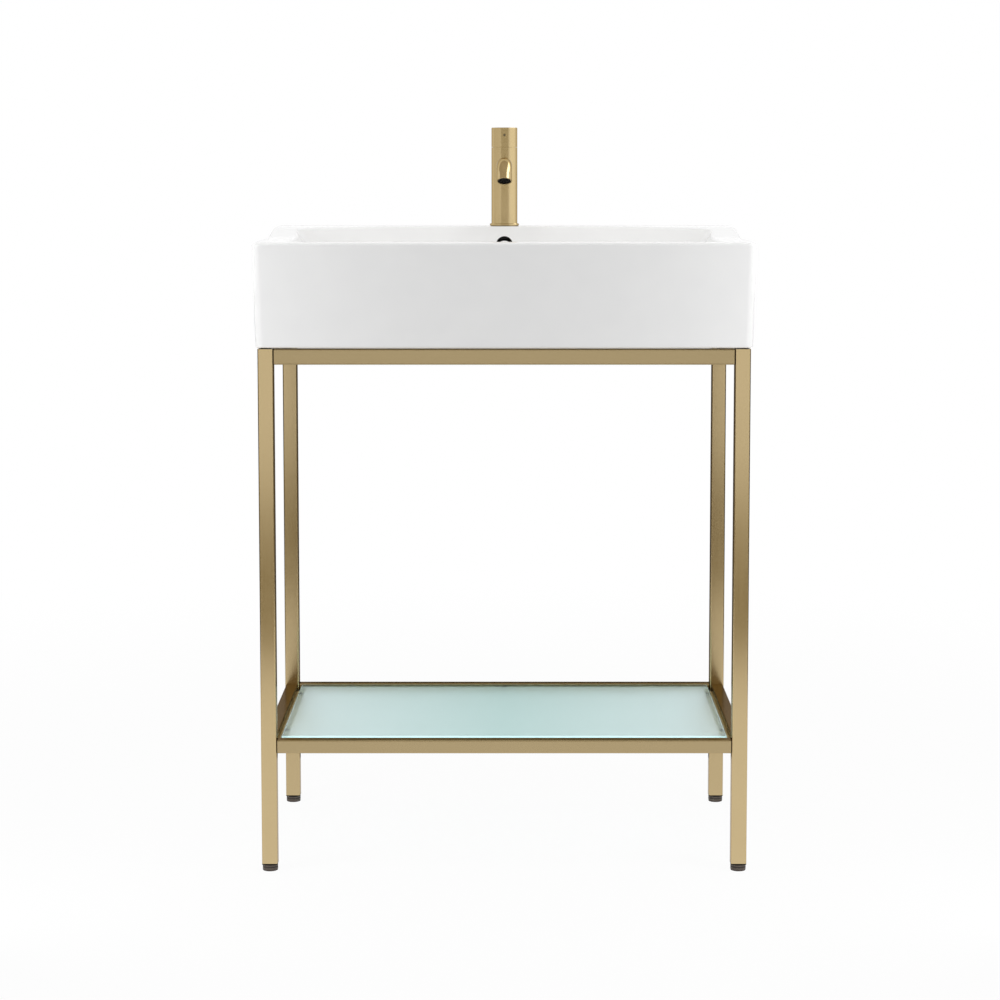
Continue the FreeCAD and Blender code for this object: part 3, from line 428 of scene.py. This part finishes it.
def make_finishes():
    """The finish of each material slot, apart from the tubes' brushed gold."""
    return {
        "white_glaze": white_glaze(),
        "frosted_glass": frosted_glass(),
        "brushed_gold_brass": brushed_gold("brushed_gold_turned", TURNED_GRAIN, TURNED_BRUSH),
        "brown_plastic": moulded("brown_plastic", roughness=0.4, shadow=puck_shadow),
        "black_plastic": moulded("black_plastic", roughness=0.45, gloss=0.15),
        "grey_plastic": moulded("grey_plastic", roughness=0.4),
        "soft_rubber": moulded("soft_rubber", roughness=0.6),
        "clear_rubber": moulded("clear_rubber", roughness=0.35),
        "bright_steel": machined("bright_steel"),
        "plain_brass": machined("plain_brass"),
        "index_dot": moulded("index_dot", roughness=0.4),
    }


def finish_nodes(finishes):
    """Gives every node of the part the finish of its material slot."""
    tubes = {}
    for subpart in frame["record"]["subparts"]:
        node, slot = subpart["node"], subpart["material_slot"]
        material = tube_gold(node, tubes) if slot == "brushed_gold_steel" else finishes[slot]
        NODES[node].data.materials.clear()
        NODES[node].data.materials.append(material)


# Modelling

MERGE_DISTANCE = 0.002 * MM
# The depth of a thread as a share of its pitch, and the share of that depth under the bar's surface.
THREAD_DEPTH = 0.61
THREAD_SEAT = 0.9
THREAD_STEPS = 24
# Turns of the helix beyond each end of the bar.
SPARE_TURNS = 2
# The width and depth of a hexagonal socket as shares of its screw's diameter and length.
SOCKET_WIDTH = 0.5
SOCKET_DEPTH = 0.55
TURNED_STEPS = 64
SMOOTH_ANGLE = math.radians(35)


def pick(piece):
    """Selects a piece alone."""
    bpy.ops.object.select_all(action="DESELECT")
    piece.select_set(True)
    bpy.context.view_layer.objects.active = piece


def new_piece(name, primitive, **shape):
    """A piece that starts as a primitive, with its object at the origin."""
    bpy.ops.object.select_all(action="DESELECT")
    primitive(**shape)
    piece = bpy.context.object
    piece.name = name
    bpy.ops.object.transform_apply(location=True, rotation=True, scale=True)
    return piece


def open_with(piece, test):
    """Opens a piece for editing with those vertices selected that pass a test."""
    bpy.context.view_layer.objects.active = piece
    bpy.ops.object.mode_set(mode="EDIT")
    bpy.ops.mesh.select_mode(type="VERT")
    bpy.ops.mesh.select_all(action="DESELECT")
    mesh = bmesh.from_edit_mesh(piece.data)
    for vertex in mesh.verts:
        vertex.select_set(test(vertex))
    bmesh.update_edit_mesh(piece.data)


def close_up():
    """Merges doubles, turns all faces outwards and ends the editing."""
    bpy.ops.mesh.select_all(action="SELECT")
    bpy.ops.mesh.remove_doubles(threshold=MERGE_DISTANCE)
    bpy.ops.mesh.normals_make_consistent(inside=False)
    bpy.ops.object.mode_set(mode="OBJECT")


def apply_modifier(piece, kind, **settings):
    bpy.context.view_layer.objects.active = piece
    modifier = piece.modifiers.new(kind.lower(), kind)
    for name, setting in settings.items():
        setattr(modifier, name, setting)
    bpy.ops.object.modifier_apply(modifier=modifier.name)


def carve(piece, tool, operation="DIFFERENCE"):
    """Cuts a piece with a tool, which is then used up."""
    apply_modifier(piece, "BOOLEAN", object=tool, operation=operation, solver="EXACT")
    bpy.data.objects.remove(tool)


def set_down(piece, place, turn=(0, 0, 0)):
    """Moves a piece to its place and leaves its object at the origin."""
    pick(piece)
    piece.location = place
    piece.rotation_euler = turn
    bpy.ops.object.transform_apply(location=True, rotation=True, scale=True)


def turned(name, outline):
    """A piece of the lathe: an outline of radii and heights, spun about Z.

    The outline ends where it starts, or starts and ends on the axis.
    """
    piece = new_piece(name, bpy.ops.mesh.primitive_plane_add, size=1)
    first = piece.data.vertices[0].co.copy()
    open_with(piece, lambda vertex: vertex.index > 0)
    bpy.ops.mesh.delete(type="VERT")
    bpy.ops.mesh.select_all(action="SELECT")
    radius, height = outline[0]
    bpy.ops.transform.translate(value=Vector((radius, 0, height)) - first)
    for (old_radius, old_height), (radius, height) in zip(outline, outline[1:]):
        step = (radius - old_radius, 0, height - old_height)
        bpy.ops.mesh.extrude_vertices_move(TRANSFORM_OT_translate={"value": step})
    bpy.ops.mesh.select_all(action="SELECT")
    bpy.ops.mesh.spin(steps=TURNED_STEPS, angle=2 * math.pi, center=(0, 0, 0), axis=(0, 0, 1))
    close_up()
    return piece


def bar(name, radius, length, chamfer):
    """A round bar with chamfered ends that stands on the origin."""
    outline = [(0, 0), (radius - chamfer, 0), (radius, chamfer)]
    outline += [(radius, length - chamfer), (radius - chamfer, length), (0, length)]
    return turned(name, outline)


def threaded_bar(name, diameter, length, pitch):
    """A round bar with a thread cut along it: a V wound up in a helix, trimmed to a chamfered bar."""
    depth = THREAD_DEPTH * pitch
    piece = new_piece(
        name, bpy.ops.mesh.primitive_circle_add,
        vertices=4, radius=pitch / 2, rotation=(math.pi / 2, 0, 0),
    )
    open_with(piece, lambda vertex: vertex.co.x < -pitch / 4)
    bpy.ops.mesh.delete(type="VERT")
    bpy.ops.mesh.select_all(action="SELECT")
    bpy.ops.transform.resize(value=(2 * THREAD_DEPTH, 1, 1), center_override=(0, 0, 0))
    bpy.ops.transform.translate(value=(diameter / 2 - THREAD_SEAT * depth, 0, -SPARE_TURNS * pitch))
    bpy.ops.object.mode_set(mode="OBJECT")
    apply_modifier(
        piece, "SCREW", axis="Z", angle=2 * math.pi, screw_offset=pitch,
        iterations=math.ceil(length / pitch) + 2 * SPARE_TURNS,
        steps=THREAD_STEPS, render_steps=THREAD_STEPS,
    )
    open_with(piece, lambda vertex: True)
    bpy.ops.mesh.remove_doubles(threshold=MERGE_DISTANCE)
    for level, below in ((-pitch / 2, True), (length + pitch / 2, False)):
        bpy.ops.mesh.select_all(action="SELECT")
        bpy.ops.mesh.bisect(
            plane_co=(0, 0, level), plane_no=(0, 0, 1), use_fill=True,
            clear_inner=below, clear_outer=not below,
        )
    close_up()
    carve(piece, bar("trim", diameter / 2, length, depth), "INTERSECT")
    return piece


def six_sided(name, flats, low, high):
    """A hexagonal prism between two heights."""
    return new_piece(
        name, bpy.ops.mesh.primitive_cylinder_add,
        vertices=6, radius=flats / math.sqrt(3), depth=high - low, location=(0, 0, (low + high) / 2),
    )


def socket_screw(name, diameter, length, pitch):
    """A headless screw that stands on the origin with its hexagonal socket downwards."""
    piece = threaded_bar(name, diameter, length, pitch)
    carve(piece, six_sided("socket", SOCKET_WIDTH * diameter, -length, SOCKET_DEPTH * length))
    return piece


def copy_of(piece, name):
    """A copy of a piece with its own mesh."""
    twin = bpy.data.objects.new(name, piece.data.copy())
    bpy.context.scene.collection.objects.link(twin)
    return twin


def upright(node):
    """The middle of a node's foot, its width and its height."""
    low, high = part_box(node)
    foot = Vector(((low.x + high.x) / 2, (low.y + high.y) / 2, low.z))
    return foot, high.x - low.x, high.z - low.z


def hand_over(piece, body, slot, finishes, *nodes):
    """Finishes a piece, lets it move with a body and lets it stand for nodes of the part."""
    pick(piece)
    bpy.ops.object.shade_smooth_by_angle(angle=SMOOTH_ANGLE)
    piece.data.materials.clear()
    piece.data.materials.append(finishes[slot])
    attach(piece, body)
    if nodes:
        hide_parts(*nodes)


# Studs and screws

STUD_PITCH = 1.25 * MM
GRUB_PITCH = 0.8 * MM
GRUB_DIAMETER = 5 * MM
GRUB_LENGTH = 7 * MM
GRUB_SETBACK = 15 * MM
CAP_SCREW_PITCH = 0.6 * MM


def make_studs(finishes):
    _, diameter, length = upright(f"foot_stud_{CORNERS[0]}")
    pattern = threaded_bar("stud_pattern", diameter, length, STUD_PITCH)
    for corner in CORNERS:
        stud = copy_of(pattern, f"foot_thread_{corner}")
        set_down(stud, upright(f"foot_stud_{corner}")[0])
        hand_over(stud, f"foot_{corner}", "bright_steel", finishes, f"foot_stud_{corner}")
    bpy.data.objects.remove(pattern)


def make_grub_screws(finishes):
    """The eight headless screws that hold the front and rear rails from below."""
    pattern = socket_screw("grub_pattern", GRUB_DIAMETER, GRUB_LENGTH, GRUB_PITCH)
    screws = []
    for rail in [f"{level}_rail_{row}" for level in ("top", "shelf") for row in ("front", "rear")]:
        low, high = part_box(rail)
        for x in (low.x + GRUB_SETBACK, high.x - GRUB_SETBACK):
            screw = copy_of(pattern, f"grub_{len(screws)}")
            set_down(screw, (x, (low.y + high.y) / 2, low.z))
            screws.append(screw)
    bpy.data.objects.remove(pattern)
    bpy.ops.object.select_all(action="DESELECT")
    for screw in screws:
        screw.select_set(True)
    bpy.context.view_layer.objects.active = screws[0]
    bpy.ops.object.join()
    screws[0].name = "grub_screw_set"
    hand_over(screws[0], "console", "bright_steel", finishes, "rail_grub_screws")


def make_cap_screw(finishes):
    low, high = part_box("tap_cap_screw")
    screw = socket_screw("cap_grub_screw", high.x - low.x, high.y - low.y, CAP_SCREW_PITCH)
    set_down(screw, ((low.x + high.x) / 2, low.y, (low.z + high.z) / 2), (-math.pi / 2, 0, 0))
    hand_over(screw, "cap", "bright_steel", finishes, "tap_cap_screw")


# Shank and nuts of the tap

SHANK_PITCH = 2 * MM
INLET_OFFSET = 7.5 * MM
INLET_RADIUS = 5 * MM
INLET_DEPTH = 15 * MM
WATERWAY_RADIUS = 3 * MM


def make_shank(finishes):
    """The threaded shank of the tap, with a stepped bore for each of its two inlets."""
    foot, diameter, length = upright("tap_shank")
    shank = threaded_bar("shank_thread", diameter, length, SHANK_PITCH)
    for x in (-INLET_OFFSET, INLET_OFFSET):
        bore = turned("inlet", [
            (0, -INLET_DEPTH), (INLET_RADIUS, -INLET_DEPTH), (INLET_RADIUS, INLET_DEPTH),
            (WATERWAY_RADIUS, INLET_DEPTH), (WATERWAY_RADIUS, 2 * length), (0, 2 * length),
        ])
        set_down(bore, (x, 0, 0))
        carve(shank, bore)
    set_down(shank, foot)
    hand_over(shank, "console", "plain_brass", finishes, "tap_shank")


NUT_FLATS = 38 * MM
NUT_BORE = 15.1 * MM
NUT_LEAD = 1.2 * MM
NUT_CHAMFER = math.radians(30)


def make_clamp_nut(finishes):
    """The nut under the deck, its corners turned off and its bore relieved at both ends."""
    foot, _, height = upright("tap_nut")
    nut = six_sided("clamp_nut", NUT_FLATS, 0, height)
    face = NUT_FLATS / 2
    corner = NUT_FLATS / math.sqrt(3)
    slant = (corner - face) * math.tan(NUT_CHAMFER)
    carve(nut, turned("corners", [
        (0, 0), (face, 0), (corner, slant), (corner, height - slant), (face, height), (0, height),
    ]), "INTERSECT")
    funnel = NUT_BORE + NUT_LEAD + height
    carve(nut, turned("bore", [
        (0, -height), (funnel, -height), (NUT_BORE, NUT_LEAD),
        (NUT_BORE, height - NUT_LEAD), (funnel, 2 * height), (0, 2 * height),
    ]))
    set_down(nut, foot)
    hand_over(nut, "console", "plain_brass", finishes, "tap_nut")


RING_BORE = 9.1 * MM
RING_SLEEVE = 13 * MM
RING_SLEEVE_LENGTH = 6.6 * MM
RING_FLANGE = 15.5 * MM
RING_LIP = 17.1 * MM
RING_LIP_HEIGHT = 1.2 * MM
RING_NOTCHES = 6
RING_NOTCH = 4 * MM


def make_cartridge_ring(finishes):
    """The ring nut over the valve: notched for its spanner, with a lip behind the seam under the cap."""
    foot, _, height = upright("tap_cartridge_nut")
    lip_top = RING_SLEEVE_LENGTH + RING_LIP_HEIGHT
    ring = turned("cartridge_ring", [
        (RING_BORE, 0), (RING_SLEEVE, 0), (RING_SLEEVE, RING_SLEEVE_LENGTH),
        (RING_LIP, RING_SLEEVE_LENGTH), (RING_LIP, lip_top), (RING_FLANGE, lip_top),
        (RING_FLANGE, height), (RING_BORE, height), (RING_BORE, 0),
    ])
    for step in range(RING_NOTCHES):
        turn = 2 * math.pi * step / RING_NOTCHES
        notch = new_piece("notch", bpy.ops.mesh.primitive_cube_add, size=RING_NOTCH)
        place = (RING_FLANGE * math.cos(turn), RING_FLANGE * math.sin(turn), height)
        set_down(notch, place, (0, 0, turn))
        carve(ring, notch)
    set_down(ring, foot)
    hand_over(ring, "console", "plain_brass", finishes, "tap_cartridge_nut")


# Outlet of the tap

SCREEN_HEIGHT = 5 * MM
SCREEN_CHAMFER = 0.3 * MM
SCREEN_TILT = math.radians(28)
SCREEN_CELL = 1.3 * MM
SCREEN_SPACING = 1.65 * MM
SCREEN_DEPTH = 3.5 * MM
SCREEN_MARGIN = 1.5 * MM


def make_outlet_screen(finishes):
    """The honeycomb of the tap's outlet."""
    low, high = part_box("tap_aerator_insert")
    radius = (high.x - low.x) / 2
    screen = bar("outlet_screen", radius, SCREEN_HEIGHT, SCREEN_CHAMFER)
    cells = six_sided("cells", SCREEN_CELL, -SCREEN_DEPTH, SCREEN_DEPTH)
    bpy.ops.object.mode_set(mode="EDIT")
    rows = math.ceil(radius / SCREEN_SPACING) + 1
    for row in range(-rows, rows + 1):
        for column in range(-rows, rows + 1):
            x = (column + row % 2 / 2) * SCREEN_SPACING
            y = row * SCREEN_SPACING * math.sqrt(3) / 2
            inside = math.hypot(x, y) < radius - SCREEN_MARGIN
            if inside and (row, column) != (0, 0):
                bpy.ops.mesh.primitive_cylinder_add(
                    vertices=6, radius=SCREEN_CELL / math.sqrt(3), depth=2 * SCREEN_DEPTH,
                    location=(x, y, 0),
                )
    bpy.ops.object.mode_set(mode="OBJECT")
    carve(screen, cells)
    set_down(screen, (0, 0, -SCREEN_HEIGHT / 2))
    set_down(screen, (low + high) / 2, (-SCREEN_TILT, 0, 0))
    hand_over(screen, "console", "black_plastic", finishes, "tap_aerator_insert")


# Overflow of the basin

COVER_RADIUS = 11.4 * MM
COVER_SEAT = 9.1 * MM
COVER_STEM = 3 * MM
COVER_STEM_LENGTH = 12.5 * MM
COVER_LENGTH = 16.8 * MM
COVER_FRONT = Vector((0, 125.5 * MM, 880.4 * MM))
# The rounded edge and dome of the plug's face: how far points lie inside its radius and below its top.
COVER_FACE = [
    (0, 1.2 * MM),
    (0.2 * MM, 0.7 * MM),
    (0.8 * MM, 0.4 * MM),
    (0.4 * COVER_RADIUS, 0.1 * MM),
]


def make_overflow_cover(finishes):
    """The white plug in the overflow's hole. It leans as the bowl does, with a crescent open above it."""
    stem = [(0, 0), (COVER_STEM, 0), (COVER_STEM, COVER_STEM_LENGTH), (COVER_SEAT, COVER_STEM_LENGTH)]
    face = [(COVER_RADIUS - inside, COVER_LENGTH - below) for inside, below in COVER_FACE]
    cover = turned("overflow_cover", [*stem, *face, (0, COVER_LENGTH)])
    (low_y, low_z), (high_y, high_z) = BOWL_BACK_LOW, BOWL_BACK_HIGH
    lean = math.atan2(high_y - low_y, high_z - low_z)
    outwards = Vector((0, -math.cos(lean), math.sin(lean)))
    set_down(cover, COVER_FRONT - COVER_LENGTH * outwards, (math.pi / 2 - lean, 0, 0))
    hand_over(cover, "console", "white_glaze", finishes)


# Floor and world

FLOOR_SIZE = 40
FLOOR_TONE = (0.85, 0.85, 0.85)
FLOOR_GLOW = 0.95
FLOOR_FADE = (0.8, 2.4)
AMBIENT = 0.48


def seen_directly(finish):
    """One where a ray comes straight from the camera, or by way of metal or glass."""
    path = finish.node("ShaderNodeLightPath")
    return path["Is Camera Ray"].either(path["Is Glossy Ray"]).either(path["Is Transmission Ray"])


def mixed(finish, share, first, second):
    return finish.node("ShaderNodeMixShader", None, {0: share, 1: first, 2: second})["Shader"]


def make_floor():
    """A pale floor that keeps the part's shadow and fades to white around it."""
    floor = new_piece(
        "studio_floor", bpy.ops.mesh.primitive_plane_add, size=FLOOR_SIZE, location=(0, 0, CAD_LOW.z),
    )
    finish = new_finish("pale_floor")
    lit = finish.node("ShaderNodeBsdfDiffuse", None, {"Color": FLOOR_TONE})["BSDF"]
    white = finish.node("ShaderNodeEmission", None, {"Color": WHITE})["Emission"]
    place = finish.node("ShaderNodeTexCoord")["Object"]
    away = finish.node("ShaderNodeVectorMath", {"operation": "LENGTH"}, {0: place})["Value"]
    near, far = FLOOR_FADE
    settings = {"interpolation_type": "SMOOTHSTEP"}
    sockets = {"Value": away, "From Min": near, "From Max": far, "To Min": FLOOR_GLOW, "To Max": 1.0}
    glow = finish.node("ShaderNodeMapRange", settings, sockets)["Result"]
    finish.show(mixed(finish, seen_directly(finish) * glow, lit, white))
    floor.data.materials.append(finish.owner)


def make_world():
    """Soft light from all around, and plain white where it is seen."""
    world = bpy.data.worlds.new("studio")
    bpy.context.scene.world = world
    finish = Finish(world)
    soft, white = [
        finish.node("ShaderNodeBackground", None, {"Color": WHITE, "Strength": strength})["Background"]
        for strength in (AMBIENT, 1.0)
    ]
    finish.show(mixed(finish, seen_directly(finish), soft, white))


# Lamps

# The place, the point faced, the width and height, the radiance, and whether metal and glaze mirror it.
SOFTBOXES = {
    "top_softbox": ((0, -0.2, 3.0), (0, 0, 0.9), (2.6, 2.0), 1.65, True),
    "left_strip": ((-0.78, -0.5, 0.75), (-0.2, 0.1, 0.75), (0.22, 1.3), 3.35, False),
    "right_strip": ((0.78, -0.5, 0.75), (0.2, 0.1, 0.75), (0.22, 1.3), 3.5, False),
}


def add_softbox(name, place, aim, size, radiance, mirrored):
    """A large soft lamp that faces a point."""
    width, height = size
    lamp = bpy.data.lights.new(name, "AREA")
    lamp.shape = "RECTANGLE"
    lamp.size = width
    lamp.size_y = height
    lamp.energy = radiance * math.pi * width * height
    softbox = bpy.data.objects.new(name, lamp)
    softbox.location = place
    softbox.rotation_mode = "QUATERNION"
    softbox.rotation_quaternion = (Vector(aim) - Vector(place)).to_track_quat("-Z", "Y")
    softbox.visible_camera = False
    softbox.visible_glossy = mirrored
    bpy.context.scene.collection.objects.link(softbox)


def make_lamps():
    for name, settings in SOFTBOXES.items():
        add_softbox(name, *settings)


# Boards that only reflections show

# Each glows evenly in its shade and is spanned between two corners.
FLAGS = {
    "flag_floor": ((-3.0, -3.9, 0.004), (3.0, -1.75, 0.004), (0.3, 0.25, 0.15)),
    "flag_behind": ((-0.41, 1.35, 0.004), (0.41, 1.35, 0.7), (0.12, 0.10, 0.07)),
    "flag_behind_left": ((-2.0, 1.35, 0.004), (-0.41, 1.35, 0.7), (0.37, 0.35, 0.45)),
    "flag_behind_right": ((0.41, 1.35, 0.004), (2.0, 1.35, 0.7), (0.37, 0.35, 0.45)),
    "flag_floor_behind": ((-0.6, 0.45, 0.004), (0.6, 1.35, 0.004), (0.2, 0.18, 0.15)),
    "flag_horizon": ((-3.0, 6.0, 0.7), (3.0, 6.0, 1.0), (0.4, 0.4, 0.4)),
    "flag_low_left": ((-1.5, -1.2, 0.004), (-1.5, 1.2, 0.72), (0.1, 0.08, 0.05)),
    "flag_low_right": ((1.5, -1.2, 0.004), (1.5, 1.2, 0.72), (0.1, 0.08, 0.05)),
    "flag_camera": ((-2.86, -4.4, 0.75), (3.58, -4.4, 1.7), (0.52, 0.48, 0.37)),
    "flag_left": ((-3.2, -4.4, 0.75), (-3.2, 1.5, 1.8), (0.79, 0.76, 0.68)),
    "flag_above": ((-3.0, -3.0, 2.9), (1.3, 1.5, 2.9), (0.5, 0.45, 0.36)),
    "board_right": ((4.0, -3.2, 0.75), (4.0, 1.5, 2.0), (1.2, 1.2, 1.15)),
}
GLINT_CORNERS = ((1.2, -1.5, 2.6), (2.5, 2.0, 2.6))
GLINT_RADIANCE = 2.4
GLINT_METAL = ("tap_body", "tap_cap", "tap_spout", "tap_base_ring")


def add_board(name, low, high, material):
    """A flat board between two corners, which only reflections show."""
    board = new_piece(name, bpy.ops.mesh.primitive_plane_add, size=1)
    corner = Vector(low)
    span = Vector(high) - corner
    flat = min(range(3), key=lambda axis: abs(span[axis]))
    across, up = [axis for axis in range(3) if axis != flat]
    for vertex in board.data.vertices:
        place = corner.copy()
        place[across] += span[across] * (vertex.co.x + 0.5)
        place[up] += span[up] * (vertex.co.y + 0.5)
        vertex.co = place
    board.data.materials.append(material)
    board.visible_camera = False
    board.visible_diffuse = False
    board.visible_transmission = False
    board.visible_shadow = False
    return board


def make_flags():
    for name, (low, high, shade) in FLAGS.items():
        glow = new_finish(name).surface(
            Base_Color=BLACK, Specular_IOR_Level=0.0, Emission_Color=shade, Emission_Strength=1.0,
        )
        add_board(name, low, high, glow)


def make_glint():
    """A clear board that glows above the tap. Only the tap's metal mirrors it, as a strip on the spout."""
    finish = new_finish("board_above")
    sockets = {"Color": WHITE, "Strength": GLINT_RADIANCE}
    glow = finish.node("ShaderNodeEmission", None, sockets)["Emission"]
    clear = finish.node("ShaderNodeBsdfTransparent")["BSDF"]
    finish.show(finish.node("ShaderNodeAddShader", None, {0: glow, 1: clear})["Shader"])
    board = add_board("board_above", *GLINT_CORNERS, finish.owner)
    metal = bpy.data.collections.new("tap_metal")
    for node in GLINT_METAL:
        metal.objects.link(NODES[node])
    board.light_linking.receiver_collection = metal


# Camera

LENS = 88.95
CAMERA_PLACE = (0.0034, -3.6707, 0.9994)
CAMERA_PITCH = math.radians(5.342)
CAMERA_SHIFT = (-0.0066, -0.10)


def make_camera():
    camera = bpy.data.objects.new("camera", bpy.data.cameras.new("camera"))
    camera.data.lens = LENS
    camera.data.shift_x, camera.data.shift_y = CAMERA_SHIFT
    camera.location = CAMERA_PLACE
    camera.rotation_euler = (math.pi / 2 - CAMERA_PITCH, 0, 0)
    bpy.context.scene.collection.objects.link(camera)
    bpy.context.scene.camera = camera
    bpy.context.scene.view_settings.view_transform = "Standard"


finishes = make_finishes()
finish_nodes(finishes)
make_studs(finishes)
make_grub_screws(finishes)
make_cap_screw(finishes)
make_shank(finishes)
make_clamp_nut(finishes)
make_cartridge_ring(finishes)
make_outlet_screen(finishes)
make_overflow_cover(finishes)
make_floor()
make_world()
make_lamps()
make_flags()
make_glint()
make_camera()
